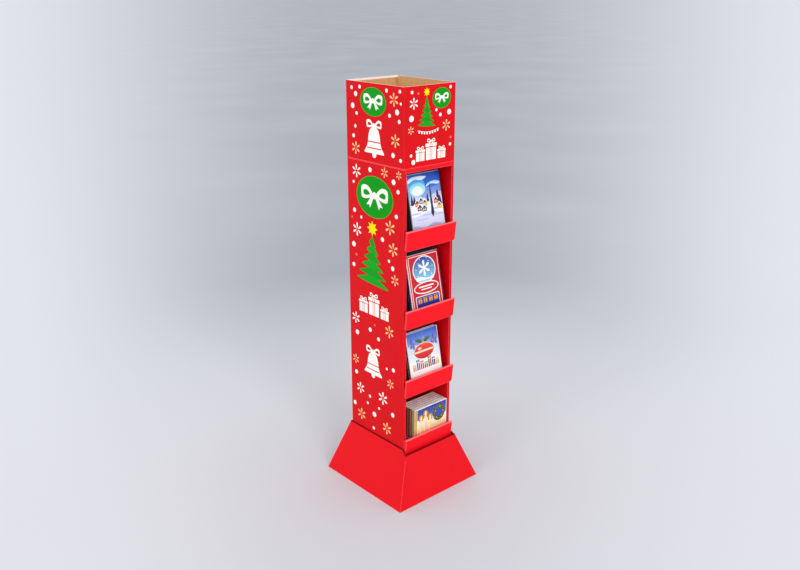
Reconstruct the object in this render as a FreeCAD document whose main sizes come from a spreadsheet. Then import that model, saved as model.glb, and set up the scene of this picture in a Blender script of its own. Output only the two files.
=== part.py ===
import FreeCAD, Part
import math
import os
import Sketcher

# Cardboard floor stand: a tall folded sleeve on a sloping skirt, four trays one above the other,
# an open square header, and the sealed disc cases that the trays hold.
# The front is -Y, up is +Z. The origin is on the floor, in the middle of the whole stand.

os.makedirs("parts", exist_ok=True)
doc = FreeCAD.newDocument("display_stand")

# Driving dimensions in millimetres and degrees
sizes = [
    ("board", 3, "thickness of the corrugated board"),
    ("foldRadius", 2, "outer radius of a fold in the board"),
    ("towerWidth", 204, "tower across the front"),
    ("towerDepth", 264, "tower front to back"),
    ("towerHeight", 1084, "sleeve from the floor to its top edge"),
    ("towerSetBack", 8, "tower's middle behind the middle of its skirt"),
    ("wallGap", 4, "hollow between the two leaves of a side wall"),
    ("endPlay", 1, "inner leaf's end to the back panel"),
    ("headerHeight", 233, "open header above the lid"),
    ("overlapShort", 8, "glued overlap inside the header's back panel, short of the right wall"),
    ("collarRise", 40, "collar that stands up into the header"),
    ("collarPlay", 0.3, "collar to the header's wall, each side"),
    ("railDrop", 10, "front rail below the lid"),
    ("railInset", 4, "front rail's end to the tower's side"),
    ("skirtWidth", 350, "skirt on the floor, across the front"),
    ("skirtDepth", 378, "skirt on the floor, front to back"),
    ("skirtRise", 174, "skirt's top edge at the sides and back"),
    ("skirtFrontRise", 162, "skirt's top edge at the front"),
    ("skirtProud", 14, "skirt's front panel in front of the tower, at its top"),
    ("boxPlay", 1, "base box to the sleeve, each side"),
    ("boxSetBack", 10, "base box behind the tower's front"),
    ("trayLevel1", 839, "underside of the top tray"),
    ("trayLevel2", 587, "underside of the second tray"),
    ("trayLevel3", 356, "underside of the third tray"),
    ("trayLevel4", 148, "underside of the bottom tray"),
    ("trayPlay", 0.3, "tray to the sleeve's side wall, each side"),
    ("sideRise", 30, "tray's side wall"),
    ("gussetRun", 46, "stretch over which the side wall rises to the lip"),
    ("gussetDrop", 6, "side wall's front corner below the lip's edge"),
    ("lipRise", 62, "lip's top edge above the tray's underside"),
    ("lipFoldOut", 8, "lip's fold in front of the tower"),
    ("lipLeanOut", 15, "lip's top edge in front of the tower"),
    ("leafGap", 0.6, "gap between the lip's two leaves"),
    ("lipCornerCut", 4, "corner cut off the lip's lower ends"),
    ("tabLength", 30, "tab on the tray's side"),
    ("tabBeyond", 2, "tab past the leaf that it goes through"),
    ("tabInset", 34, "tab from the tower's front and from its back panel"),
    ("slotPlay", 0.5, "slot longer and higher than its tab, on a side"),
    ("padRiseHigh", 27, "pad's height in the upper two trays, nine layers of board"),
    ("padRiseLow", 18, "pad's height in the bottom tray, six layers of board"),
    ("padSide", 3, "pad to the tray's side wall, each side"),
    ("stopRise", 120, "case stop's height"),
    ("stopSpread", 76, "case stop front to back, at its foot"),
    ("stopWidth", 120, "case stop, across"),
    ("caseLean", 12, "lean of the film cases, in degrees"),
    ("casePlay", 0.4, "gap between neighbouring film cases"),
    ("caseFront", 1, "front film case's foot behind the tower's front"),
    ("filmWidth", 135, "film case, across"),
    ("filmTall", 190, "film case, tall"),
    ("filmThick", 14, "film case, thick"),
    ("filmShift", 9, "film cases right of the middle"),
    ("filmCount", 3, "film cases in a tray"),
    ("caseCorner", 3, "corner radius of a film case"),
    ("albumWidth", 142, "music case, across"),
    ("albumTall", 125, "music case, tall"),
    ("albumThick", 10.4, "music case, thick"),
    ("albumGap", 0.8, "gap between neighbouring music cases"),
    ("albumSidePlay", 0.5, "music cases to the tray's side wall"),
    ("albumCount", 6, "music cases in the bottom tray"),
    ("albumCorner", 1, "corner radius of a music case"),
]

dims = doc.addObject("Spreadsheet::Sheet", "dims")
for row, (alias, size, note) in enumerate(sizes, start=1):
    dims.set(f"A{row}", alias)
    dims.set(f"B{row}", str(size))
    dims.set(f"C{row}", note)
    dims.setAlias(f"B{row}", alias)
doc.recompute()


def value(expression):
    """Number that an expression on the sheet gives now."""
    return float(dims.evalExpression(expression))


# Places that several pieces share, as expressions on the sheet, in the tower's own frame
halfWidth = "dims.towerWidth/2"
front = "(-dims.towerDepth/2)"
backFace = "(dims.towerDepth/2-dims.board)"
wall = "(2*dims.board+dims.wallGap)"
innerHalf = f"({halfWidth}-{wall})"
trayHalf = f"({innerHalf}-dims.trayPlay)"
lipThick = "(2*dims.board+dims.leafGap)"
lipSlope = "((dims.lipLeanOut-dims.lipFoldOut)/dims.lipRise)"
casePitch = "((dims.filmThick+dims.casePlay)/cos(dims.caseLean*1deg))"
stopFoot = f"({front}+dims.caseFront+dims.filmCount*{casePitch})"
albumPitch = "(dims.albumThick+dims.albumGap)"
padRise = {1: "dims.padRiseHigh", 2: "dims.padRiseHigh", 3: "0", 4: "dims.padRiseLow"}


def lipInside(height):
    """Depth of the lip's inner face at a height above the tray's underside."""
    return f"({front}-dims.lipFoldOut+{lipThick}-{lipSlope}*({height}))"


def newBody(name, up="0", back="0"):
    """Body whose frame stands on the tower's axis, at the height and depth that the expressions give."""
    body = doc.addObject("PartDesign::Body", name)
    body.Label = name
    body.setExpression("Placement.Base.y", f"dims.towerSetBack+{back}")
    body.setExpression("Placement.Base.z", up)
    return body


def outline(body, name, role, loops, lift=None):
    """Sketch of closed outlines on one of the body's planes, each corner held by two expressions."""
    sketch = body.newObject("Sketcher::SketchObject", name)
    plane = [item for item in body.Origin.OriginFeatures if item.Role == role][0]
    sketch.AttachmentSupport = [(plane, "")]
    sketch.MapMode = "FlatFace"
    if lift is not None:
        sketch.setExpression("AttachmentOffset.Base.z", lift)
    first = 0
    for loop in loops:
        places = [FreeCAD.Vector(value(u), value(v), 0) for u, v in loop]
        count = len(loop)
        for corner in range(count):
            following = (corner + 1) % count
            sketch.addGeometry(Part.LineSegment(places[corner], places[following]), False)
        for corner in range(count):
            following = (corner + 1) % count
            sketch.addConstraint(Sketcher.Constraint("Coincident", first + corner, 2, first + following, 1))
        for corner, (u, v) in enumerate(loop):
            held = (("across", "DistanceX", u, places[corner].x), ("along", "DistanceY", v, places[corner].y))
            for word, kind, expression, size in held:
                label = f"{word}{first + corner}"
                index = sketch.addConstraint(Sketcher.Constraint(kind, first + corner, 1, size))
                sketch.renameConstraint(index, label)
                sketch.setExpression(f"Constraints.{label}", expression)
        first += count
    return sketch


def rectangle(u0, u1, v0, v1):
    return [(u0, v0), (u1, v0), (u1, v1), (u0, v1)]


def extrude(body, name, sketch, length, both=False):
    """Pad of a sketch, to one side or half to each side."""
    pad = body.newObject("PartDesign::Pad", name)
    pad.Profile = sketch
    if both:
        pad.SideType = "Symmetric"
    pad.setExpression("Length", length)
    doc.recompute()
    return pad


def cutAway(body, name, sketch, length, upward=False):
    """Pocket to both sides of its sketch, or only upwards, that must take material away."""
    before = body.Shape.Volume
    pocket = body.newObject("PartDesign::Pocket", name)
    pocket.Profile = sketch
    if upward:
        pocket.Reversed = True
    else:
        pocket.SideType = "Symmetric"
    pocket.setExpression("Length", length)
    doc.recompute()
    if pocket.Shape.Volume >= before:
        raise RuntimeError(f"{body.Label}: {name} cuts nothing")
    return pocket


def roundEdges(body, name, radius, chosen):
    """Fillet of the tip's edges that the test picks."""
    tip = body.Tip
    edges = [f"Edge{number}" for number, edge in enumerate(tip.Shape.Edges, start=1) if chosen(edge)]
    fillet = body.newObject("PartDesign::Fillet", name)
    fillet.Base = (tip, edges)
    fillet.setExpression("Radius", radius)
    doc.recompute()
    return fillet


def uprightCorner(halfAcross, halfAlong):
    """Test for an upright edge at the four outer corners of a tube."""
    def test(edge):
        ends = [vertex.Point for vertex in edge.Vertexes]
        upright = len(ends) == 2 and math.hypot(ends[0].x - ends[1].x, ends[0].y - ends[1].y) < tiny
        return upright and abs(abs(ends[0].x) - halfAcross) < tiny and abs(abs(ends[0].y) - halfAlong) < tiny
    return test


tiny = 0.001


def towerSleeve():
    """One sheet: back panel, two side walls of two leaves each, and the narrow front strips between them."""
    body = newBody("tower_sleeve")
    leafEnd = f"{backFace}-dims.endPlay"
    right = [
        (innerHalf, leafEnd),
        (innerHalf, front),
        (halfWidth, front),
        (halfWidth, "dims.towerDepth/2"),
    ]
    rightInside = [
        (f"{innerHalf}+dims.board", leafEnd),
        (f"{innerHalf}+dims.board", f"{front}+dims.board"),
        (f"{halfWidth}-dims.board", f"{front}+dims.board"),
        (f"{halfWidth}-dims.board", backFace),
    ]
    mirrored = [(f"-({u})", v) for u, v in right]
    mirroredInside = [(f"-({u})", v) for u, v in rightInside]
    section = right + mirrored[::-1] + mirroredInside + rightInside[::-1]
    sheet = outline(body, "sleeve_section", "XY_Plane", [section])
    extrude(body, "sleeve_length", sheet, "dims.towerHeight")
    corner = uprightCorner(value(halfWidth), value("dims.towerDepth/2"))
    roundEdges(body, "sleeve_folds", "dims.foldRadius", corner)
    slots = []
    for level in trayLevels:
        for start in tabStarts:
            low = f"{level}"
            high = f"{level}+dims.board+dims.slotPlay"
            slots.append(rectangle(f"{start}-dims.slotPlay", f"{start}+dims.tabLength+dims.slotPlay", low, high))
    holes = outline(body, "tab_slots", "YZ_Plane", slots)
    cutAway(body, "slots_in_inner_leaves", holes, f"2*({innerHalf}+dims.board)+dims.wallGap")
    return body


trayLevels = [f"dims.trayLevel{number}" for number in (1, 2, 3, 4)]
tabStarts = [f"({front}+dims.tabInset)", f"({backFace}-dims.tabInset-dims.tabLength)"]


def tray(number, wingsAtEnds):
    """One folded sheet: floor, back wall, side walls that rise to the lip, a doubled lip and four tabs."""
    body = newBody(f"tray_{number}", up=f"dims.trayLevel{number}")
    plate = [
        (backFace, "0"),
        (backFace, "dims.sideRise"),
        (f"{backFace}-dims.board", "dims.sideRise"),
        (f"{backFace}-dims.board", "dims.board"),
        (lipInside("dims.board"), "dims.board"),
        (lipInside("0"), "0"),
    ]
    sketch = outline(body, "floor_section", "YZ_Plane", [plate])
    extrude(body, "floor_and_back", sketch, f"2*{trayHalf}", both=True)

    leaves = [
        (f"{front}-dims.lipFoldOut", "0"),
        (f"{front}-dims.lipLeanOut", "dims.lipRise"),
        (lipInside("dims.lipRise"), "dims.lipRise"),
        (lipInside("0"), "0"),
    ]
    slit = [
        (f"{lipInside('dims.board')}-dims.board-dims.leafGap", "dims.board"),
        (f"{lipInside('dims.lipRise-dims.board')}-dims.board-dims.leafGap", "dims.lipRise-dims.board"),
        (f"{lipInside('dims.lipRise-dims.board')}-dims.board", "dims.lipRise-dims.board"),
        (f"{lipInside('dims.board')}-dims.board", "dims.board"),
    ]
    sketch = outline(body, "lip_section", "YZ_Plane", [leaves, slit])
    extrude(body, "lip", sketch, "dims.towerWidth", both=True)

    gussetTop = "dims.lipRise-dims.gussetDrop"
    side = [
        (f"{backFace}-dims.board", "dims.board"),
        (f"{backFace}-dims.board", "dims.sideRise"),
        (f"{front}+dims.gussetRun", "dims.sideRise"),
        (front, gussetTop),
        (lipInside(gussetTop), gussetTop),
        (lipInside("dims.board"), "dims.board"),
    ]
    sketch = outline(body, "side_outline", "YZ_Plane", [side])
    extrude(body, "sides", sketch, f"2*{trayHalf}", both=True)
    sketch = outline(body, "inside_outline", "YZ_Plane", [side])
    cutAway(body, "between_sides", sketch, f"2*({trayHalf}-dims.board)")

    if wingsAtEnds:
        wing = [
            (front, "0"),
            (front, gussetTop),
            (lipInside(gussetTop), gussetTop),
            (lipInside("0"), "0"),
        ]
        for word, turn in (("right", "1"), ("left", "-1")):
            sketch = outline(body, f"{word}_wing_outline", "YZ_Plane", [wing],
                             lift=f"{turn}*({halfWidth}-dims.board/2)")
            extrude(body, f"{word}_wing", sketch, "dims.board", both=True)

    corners = []
    for turn in ("1", "-1"):
        corners.append([
            (f"{turn}*{halfWidth}", "0"),
            (f"{turn}*({halfWidth}-dims.lipCornerCut)", "0"),
            (f"{turn}*{halfWidth}", "dims.lipCornerCut"),
        ])
    sketch = outline(body, "lip_corners", "XZ_Plane", corners)
    cutAway(body, "cut_lip_corners", sketch, "2*dims.towerDepth")

    reach = f"({innerHalf}+dims.board+dims.tabBeyond)"
    tabs = [rectangle(f"-{reach}", reach, start, f"{start}+dims.tabLength") for start in tabStarts]
    sketch = outline(body, "tab_outline", "XY_Plane", tabs)
    extrude(body, "tabs", sketch, "dims.board")
    return body


def casePad(number, rear):
    """Block of glued board layers on a tray's floor, which lifts the cases into sight over the lip."""
    body = newBody(f"case_pad_{number}", up=f"dims.trayLevel{number}+dims.board")
    across = f"({trayHalf}-dims.board-dims.padSide)"
    plan = rectangle(f"-{across}", across, f"({front}+dims.caseFront)", rear)
    sketch = outline(body, "pad_outline", "XY_Plane", [plan])
    extrude(body, "pad_layers", sketch, padRise[number])
    return body


def caseStop(number):
    """One strip folded into a tent, with its front leaf at the lean of the cases."""
    up = f"dims.trayLevel{number}+dims.board+{padRise[number]}"
    body = newBody(f"case_stop_{number}", up=up, back=stopFoot)
    body.setExpression("Placement.Base.x", "dims.filmShift")
    lean = "tan(dims.caseLean*1deg)"
    leaf = "(dims.board/cos(dims.caseLean*1deg))"
    ridge = f"(dims.stopRise*{lean})"
    outerBack = f"({ridge}+2*dims.board)"
    backSlope = f"((dims.stopSpread-{outerBack})/dims.stopRise)"
    inside = "(dims.stopRise-dims.board)"
    backLeaf = f"(dims.board*sqrt(1+{backSlope}^2))"
    tent = [
        ("0", "0"),
        (ridge, "dims.stopRise"),
        (outerBack, "dims.stopRise"),
        ("dims.stopSpread", "0"),
        (f"dims.stopSpread-{backLeaf}", "0"),
        (f"dims.stopSpread-{backLeaf}-{backSlope}*{inside}", inside),
        (f"{leaf}+{inside}*{lean}", inside),
        (leaf, "0"),
    ]
    sketch = outline(body, "tent_section", "YZ_Plane", [tent])
    extrude(body, "tent", sketch, "dims.stopWidth", both=True)
    return body


def lidTray():
    """One folded sheet on the sleeve's top: lid, collar that holds the header, and the front rail."""
    body = newBody("header_tray", up="dims.towerHeight")
    lid = rectangle(f"-{halfWidth}", halfWidth, front, "dims.towerDepth/2")
    sketch = outline(body, "lid_outline", "XY_Plane", [lid])
    extrude(body, "lid", sketch, "dims.board")
    across = f"({halfWidth}-dims.board-dims.collarPlay)"
    near = f"({front}+dims.board+dims.collarPlay)"
    far = f"({backFace}-dims.board-dims.collarPlay)"
    ring = [
        rectangle(f"-{across}", across, near, far),
        rectangle(f"-{across}+dims.board", f"{across}-dims.board", f"{near}+dims.board", f"{far}-dims.board"),
    ]
    sketch = outline(body, "collar_outline", "XY_Plane", ring)
    extrude(body, "collar", sketch, "dims.board+dims.collarRise")
    rail = rectangle(f"-({halfWidth}-dims.railInset)", f"{halfWidth}-dims.railInset",
                     f"{front}-dims.board", front)
    sketch = outline(body, "rail_outline", "XY_Plane", [rail], lift="-dims.railDrop")
    extrude(body, "front_rail", sketch, "dims.railDrop+dims.board")
    return body


def headerSleeve():
    """Open square tube of one sheet, whose last panel overlaps the back panel on the inside."""
    body = newBody("header_sleeve", up="dims.towerHeight+dims.board")
    right = f"({halfWidth}-dims.board)"
    near = f"({front}+dims.board)"
    outer = rectangle(f"-{halfWidth}", halfWidth, front, "dims.towerDepth/2")
    inner = [
        (f"-{right}", near),
        (right, near),
        (right, backFace),
        (f"{right}-dims.overlapShort", backFace),
        (f"{right}-dims.overlapShort", f"{backFace}-dims.board"),
        (f"-{right}", f"{backFace}-dims.board"),
    ]
    sketch = outline(body, "header_section", "XY_Plane", [outer, inner])
    extrude(body, "header_length", sketch, "dims.headerHeight")
    corner = uprightCorner(value(halfWidth), value("dims.towerDepth/2"))
    roundEdges(body, "header_folds", "dims.foldRadius", corner)
    return body


def baseBox():
    """Open box that stands on the floor inside the sleeve and carries the bottom tray."""
    body = newBody("base_box")
    across = f"({innerHalf}-dims.boxPlay)"
    nearSide = f"({front}+dims.boxSetBack)"
    farSide = f"({backFace}-dims.boxPlay)"
    floor = rectangle(f"-{across}", across, nearSide, farSide)
    sketch = outline(body, "box_outline", "XY_Plane", [floor])
    extrude(body, "box_block", sketch, "dims.trayLevel4")
    hollow = rectangle(f"-{across}+dims.board", f"{across}-dims.board",
                       f"{nearSide}+dims.board", f"{farSide}-dims.board")
    sketch = outline(body, "box_hollow_outline", "XY_Plane", [hollow], lift="dims.board")
    cutAway(body, "box_hollow", sketch, "dims.trayLevel4", upward=True)
    return body


def baseSkirt():
    """One sheet of four sloping panels round the tower's foot, with its front panel lower and further out."""
    body = newBody("base_skirt")
    footSide = "dims.skirtWidth/2"
    footNear = "(-dims.skirtDepth/2-dims.towerSetBack)"
    footFar = "(dims.skirtDepth/2-dims.towerSetBack)"
    rimNear = f"({front}-dims.skirtProud)"
    rimFar = "(dims.towerDepth/2)"

    def level(run):
        """Level thickness of a panel that leans inwards by this run."""
        return f"(dims.board*sqrt(1+(({run})/dims.skirtRise)^2))"

    sideThick = level(f"{footSide}-{halfWidth}")
    nearThick = level(f"{rimNear}-{footNear}")
    farThick = level(f"{footFar}-{rimFar}")
    shells = (
        ("outside", "AdditiveLoft",
         rectangle(f"-{footSide}", footSide, footNear, footFar),
         rectangle(f"-({halfWidth}+{sideThick})", f"{halfWidth}+{sideThick}",
                   f"{rimNear}-{nearThick}", f"{rimFar}+{farThick}")),
        ("inside", "SubtractiveLoft",
         rectangle(f"-({footSide}-{sideThick})", f"{footSide}-{sideThick}",
                   f"{footNear}+{nearThick}", f"{footFar}-{farThick}"),
         rectangle(f"-{halfWidth}", halfWidth, rimNear, rimFar)),
    )
    for word, kind, foot, rim in shells:
        low = outline(body, f"{word}_foot", "XY_Plane", [foot])
        high = outline(body, f"{word}_rim", "XY_Plane", [rim], lift="dims.skirtRise")
        loft = body.newObject(f"PartDesign::{kind}", word)
        loft.Profile = low
        loft.Sections = [high]
        loft.Ruled = True
        doc.recompute()
    notch = [
        (front, "dims.skirtRise"),
        (f"{rimNear}-{nearThick}", "dims.skirtFrontRise"),
        (footNear, "dims.skirtFrontRise"),
        (footNear, "dims.skirtRise+dims.board"),
        (front, "dims.skirtRise+dims.board"),
    ]
    sketch = outline(body, "front_notch", "YZ_Plane", [notch])
    cutAway(body, "lower_front_edge", sketch, "dims.skirtWidth")
    return body


def caseBody(name, width, tall, thick, corner, up, back, right):
    """Sealed case as a closed block with round corners, its rear lower edge at the body's own origin."""
    body = newBody(name, up=up, back=back)
    body.setExpression("Placement.Base.x", right)
    face = rectangle(f"-{width}/2", f"{width}/2", "0", tall)
    sketch = outline(body, "cover_outline", "XZ_Plane", [face])
    extrude(body, "case_block", sketch, thick)
    if body.Shape.BoundBox.YMin > -tiny:
        raise RuntimeError(f"{name}: the block points backwards")

    def alongDepth(edge):
        ends = [vertex.Point for vertex in edge.Vertexes]
        return len(ends) == 2 and abs(ends[0].x - ends[1].x) < tiny and abs(ends[0].z - ends[1].z) < tiny
    roundEdges(body, "case_corners", corner, alongDepth)
    return body


def filmCase(number, place, order):
    """Film case that leans back on the case behind it, or on the stop."""
    up = f"dims.trayLevel{number}+dims.board+{padRise[number]}"
    back = f"({stopFoot}-{order}*{casePitch}-dims.casePlay/cos(dims.caseLean*1deg))"
    body = caseBody(f"film_case_{number}_{place}", "dims.filmWidth", "dims.filmTall", "dims.filmThick",
                    "dims.caseCorner", up, back, "dims.filmShift")
    body.Placement = FreeCAD.Placement(body.Placement.Base, FreeCAD.Rotation(FreeCAD.Vector(1, 0, 0), 0))
    body.setExpression("Placement.Rotation.Angle", "-dims.caseLean*1deg")
    return body


def albumCase(order):
    """Music case that stands upright behind the bottom tray's lip, against its right side."""
    up = f"dims.trayLevel4+dims.board+{padRise[4]}"
    back = f"({front}+{order}*{albumPitch}+dims.albumThick)"
    right = f"{trayHalf}-dims.board-dims.albumSidePlay-dims.albumWidth/2"
    return caseBody(f"music_case_{order + 1}", "dims.albumWidth", "dims.albumTall", "dims.albumThick",
                    "dims.albumCorner", up, back, right)


pieces = [towerSleeve(), lidTray(), headerSleeve(), baseBox(), baseSkirt()]
for number in (1, 2, 3, 4):
    pieces.append(tray(number, wingsAtEnds=number == 4))
for number in (1, 2):
    pieces.append(casePad(number, f"({stopFoot}+dims.stopSpread)"))
pieces.append(casePad(4, f"({front}+dims.albumCount*{albumPitch})"))
for number in (1, 2, 3):
    pieces.append(caseStop(number))
    for order, place in enumerate(("back", "middle", "front")[:int(value("dims.filmCount"))]):
        pieces.append(filmCase(number, place, order))
for order in range(int(value("dims.albumCount"))):
    pieces.append(albumCase(order))
doc.recompute()

for item in doc.Objects:
    if "Invalid" in item.State or "Error" in item.State:
        raise RuntimeError(f"{item.Label} failed to compute: {item.State}")
for piece in pieces:
    if piece.Shape.isNull() or not piece.Shape.isValid():
        raise RuntimeError(f"{piece.Label} has no valid shape")
    if len(piece.Shape.Solids) != 1:
        raise RuntimeError(f"{piece.Label} has {len(piece.Shape.Solids)} solids")
for piece in pieces:
    piece.Shape.exportStep(f"parts/{piece.Label}.step")
print(f"{len(pieces)} pieces written")
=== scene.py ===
from functools import partial
import math
import bmesh
import bpy
from mathutils import Matrix, Vector


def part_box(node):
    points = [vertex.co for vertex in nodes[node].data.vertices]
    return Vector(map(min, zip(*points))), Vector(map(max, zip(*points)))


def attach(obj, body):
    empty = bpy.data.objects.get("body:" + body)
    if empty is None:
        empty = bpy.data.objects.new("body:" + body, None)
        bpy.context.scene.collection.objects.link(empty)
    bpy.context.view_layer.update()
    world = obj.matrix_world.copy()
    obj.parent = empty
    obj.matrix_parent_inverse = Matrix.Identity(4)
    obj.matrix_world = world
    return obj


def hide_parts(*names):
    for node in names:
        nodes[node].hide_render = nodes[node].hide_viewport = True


# A slim shop display of red printed corrugated board with four trays of disc cases.
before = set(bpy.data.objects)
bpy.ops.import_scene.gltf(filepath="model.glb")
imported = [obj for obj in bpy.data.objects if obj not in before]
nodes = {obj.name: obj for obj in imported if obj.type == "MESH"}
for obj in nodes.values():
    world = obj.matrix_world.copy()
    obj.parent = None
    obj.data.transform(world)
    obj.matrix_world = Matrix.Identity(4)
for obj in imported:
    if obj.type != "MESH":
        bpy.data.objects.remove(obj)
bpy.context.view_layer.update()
mm = 0.001
print("frame loaded,", len(nodes), "nodes")


# Small helpers

def linearColour(code):
    # sRGB hex to the linear colour that shaders use
    parts = [int(code[i:i + 2], 16) / 255 for i in (1, 3, 5)]
    return tuple(c / 12.92 if c <= 0.04045 else ((c + 0.055) / 1.055) ** 2.4 for c in parts) + (1.0,)


def mixed(low, high, share):
    return tuple(a + (b - a) * share for a, b in zip(linearColour(low), linearColour(high)))


def addNode(tree, kind, inputs=(), **settings):
    # inputs by name or number, or a list from the first on; a node given as an input stands for its first
    # output, and shader nodes go by their short names
    node = tree.nodes.new(kind if kind.startswith(("Geometry", "NodeGroup")) else "ShaderNode" + kind)
    for name, setting in settings.items():
        setattr(node, name, setting)
    for socket, given in inputs.items() if isinstance(inputs, dict) else enumerate(inputs):
        if isinstance(given, bpy.types.Node):
            given = given.outputs[0]
        if isinstance(given, bpy.types.NodeSocket):
            tree.links.new(given, node.inputs[socket])
        else:
            node.inputs[socket].default_value = given
    return node


def newMaterial(name):
    material = bpy.data.materials.new(name)
    material.use_nodes = True
    material.node_tree.nodes.clear()
    add = partial(addNode, material.node_tree)
    return material, add, add("TexCoord")


def finishMaterial(material, add, shader):
    add("OutputMaterial", {"Surface": shader})
    return material


def newPiece(name, mesh, slot, *replaced):
    # a finished piece, at the origin, riding on the stand
    piece = bpy.data.objects.new(name, mesh)
    bpy.context.scene.collection.objects.link(piece)
    if replaced:
        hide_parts(*replaced)
    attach(piece, "root")


# Materials

noiseSpan = {"From Min": 0.3, "From Max": 0.7}     # where nearly all of a noise texture's values lie
boardLook = dict(
    red="#DE0512",
    deepRed="#CB0410",
    brightRed="#FA0F1F",      # lips and front rail, printed on their own sheets
    deepBright="#EC0A18",
    skirtRed="#E60E1B",
    deepSkirt="#D80A17",
    wornAndHighlight="#FF7780",           # ink thinned by the fold, with the white paper showing through, and a painted highlight along the fold
    flutePitch=6.5 * mm,      # B flute
    paperGrain=1.4 * mm,      # real fibres are finer, drawn as coarse as they need to show
    cloud=90 * mm,
    foldReach=1.9 * mm,
    rubSize=12 * mm,          # patches in which a fold is rubbed
    crestFoot=3.6 * mm,       # where the worn line with its painted highlight along a lip's top edge begins, and where it is full
    crestFull=2.2 * mm,
    jointShadowBand=2.6 * mm,          # painted shadow line along the skirt's upper edge, in the joint against the tower
    jointShadowInk="#6E0408",
    unrubbed=12 * mm,         # stretch below that line
    rimStep=17 * mm,
    cutPaper="#FFF6EA",
    liner=1.2 * mm,
    turnIn=5 * mm,            # margin of the print paper folded over the header's back edge
    marginReach=9 * mm,
    cutReach=0.4 * mm,              # below a cut edge's top
    cutFlute="#DDBB93",
    kraft="#E0B888",
    kraftDark="#C4935E",
    fibres=(300.0, 300.0, 60.0),    # per metre across, across and up
)


def boardSurface(add, coords, look):
    # what all the boards share: flutes that telegraph through the paper, paper grain and broad clouds
    position = coords.outputs["Object"]
    place = add("SeparateXYZ", [position])
    facing = add("SeparateXYZ", [coords.outputs["Normal"]])
    sideways = add("Math", [facing.outputs["X"]], operation="ABSOLUTE")
    onSide = add("Math", [sideways, 0.6], operation="GREATER_THAN")
    across = add("Mix", {0: onSide, 2: place.outputs["X"], 3: place.outputs["Y"]}, data_type="FLOAT")
    turns = add("Math", [across, 2 * math.pi / look["flutePitch"]], operation="MULTIPLY")
    flutes = add("Math", [turns], operation="SINE")
    grain = add("TexNoise", {"Vector": position, "Scale": 1 / look["paperGrain"], "Detail": 4.0,
        "Roughness": 0.65})
    clouds = add("TexNoise", {"Vector": position, "Scale": 1 / look["cloud"], "Detail": 3.0})
    ridge = add("Math", [flutes, 0.35, grain], operation="MULTIPLY_ADD")
    bump = add("Bump", {"Strength": 0.35, "Distance": 0.08 * mm, "Height": ridge})
    return flutes, grain, bump, place, facing, clouds


def foldWearAndHighlight(add, position, look):
    # 1 on the folds and edges, broken up as rubbed ink is: worn ink and a painted highlight along each fold
    rounded = add("Bevel", {"Radius": look["foldReach"]}, samples=6)
    surface = add("NewGeometry")
    alike = add("VectorMath", [rounded, surface.outputs["Normal"]], operation="DOT_PRODUCT")
    edge = add("MapRange", {"Value": alike.outputs["Value"], "From Min": 0.995, "From Max": 0.86, "To Min": 0.0,
        "To Max": 1.0})
    rub = add("TexNoise", {"Vector": position, "Scale": 1 / look["rubSize"], "Detail": 5.0, "Roughness": 0.7})
    broken = add("MapRange", {"Value": rub, "From Min": 0.25, "From Max": 0.62, "To Min": 0.35, "To Max": 1.0})
    return add("Math", [edge, broken], operation="MULTIPLY")


def coatedShader(add, colour, grain, bump):
    # thin press varnish: satin, a little uneven, with little white in its sheen
    rough = add("MapRange", {"Value": grain, **noiseSpan, "To Min": 0.42, "To Max": 0.56})
    return add("BsdfPrincipled", {"Base Color": colour, "Roughness": rough, "Normal": bump, "Coat Weight": 0.03,
        "Coat Roughness": 0.3, "Specular IOR Level": 0.1})


def kraftPaper(add, position, flutes, look):
    # long brown fibres along the flutes, which show as soft stripes
    stretch = add("Mapping", {"Vector": position, "Scale": look["fibres"]})
    fibres = add("TexNoise", {"Vector": stretch, "Scale": 1.0, "Detail": 5.0})
    stripes = add("Math", [flutes, 0.12, fibres], operation="MULTIPLY_ADD")
    return add("Mix", {0: stripes, 6: linearColour(look["kraft"]), 7: linearColour(look["kraftDark"])},
        data_type="RGBA")


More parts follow.
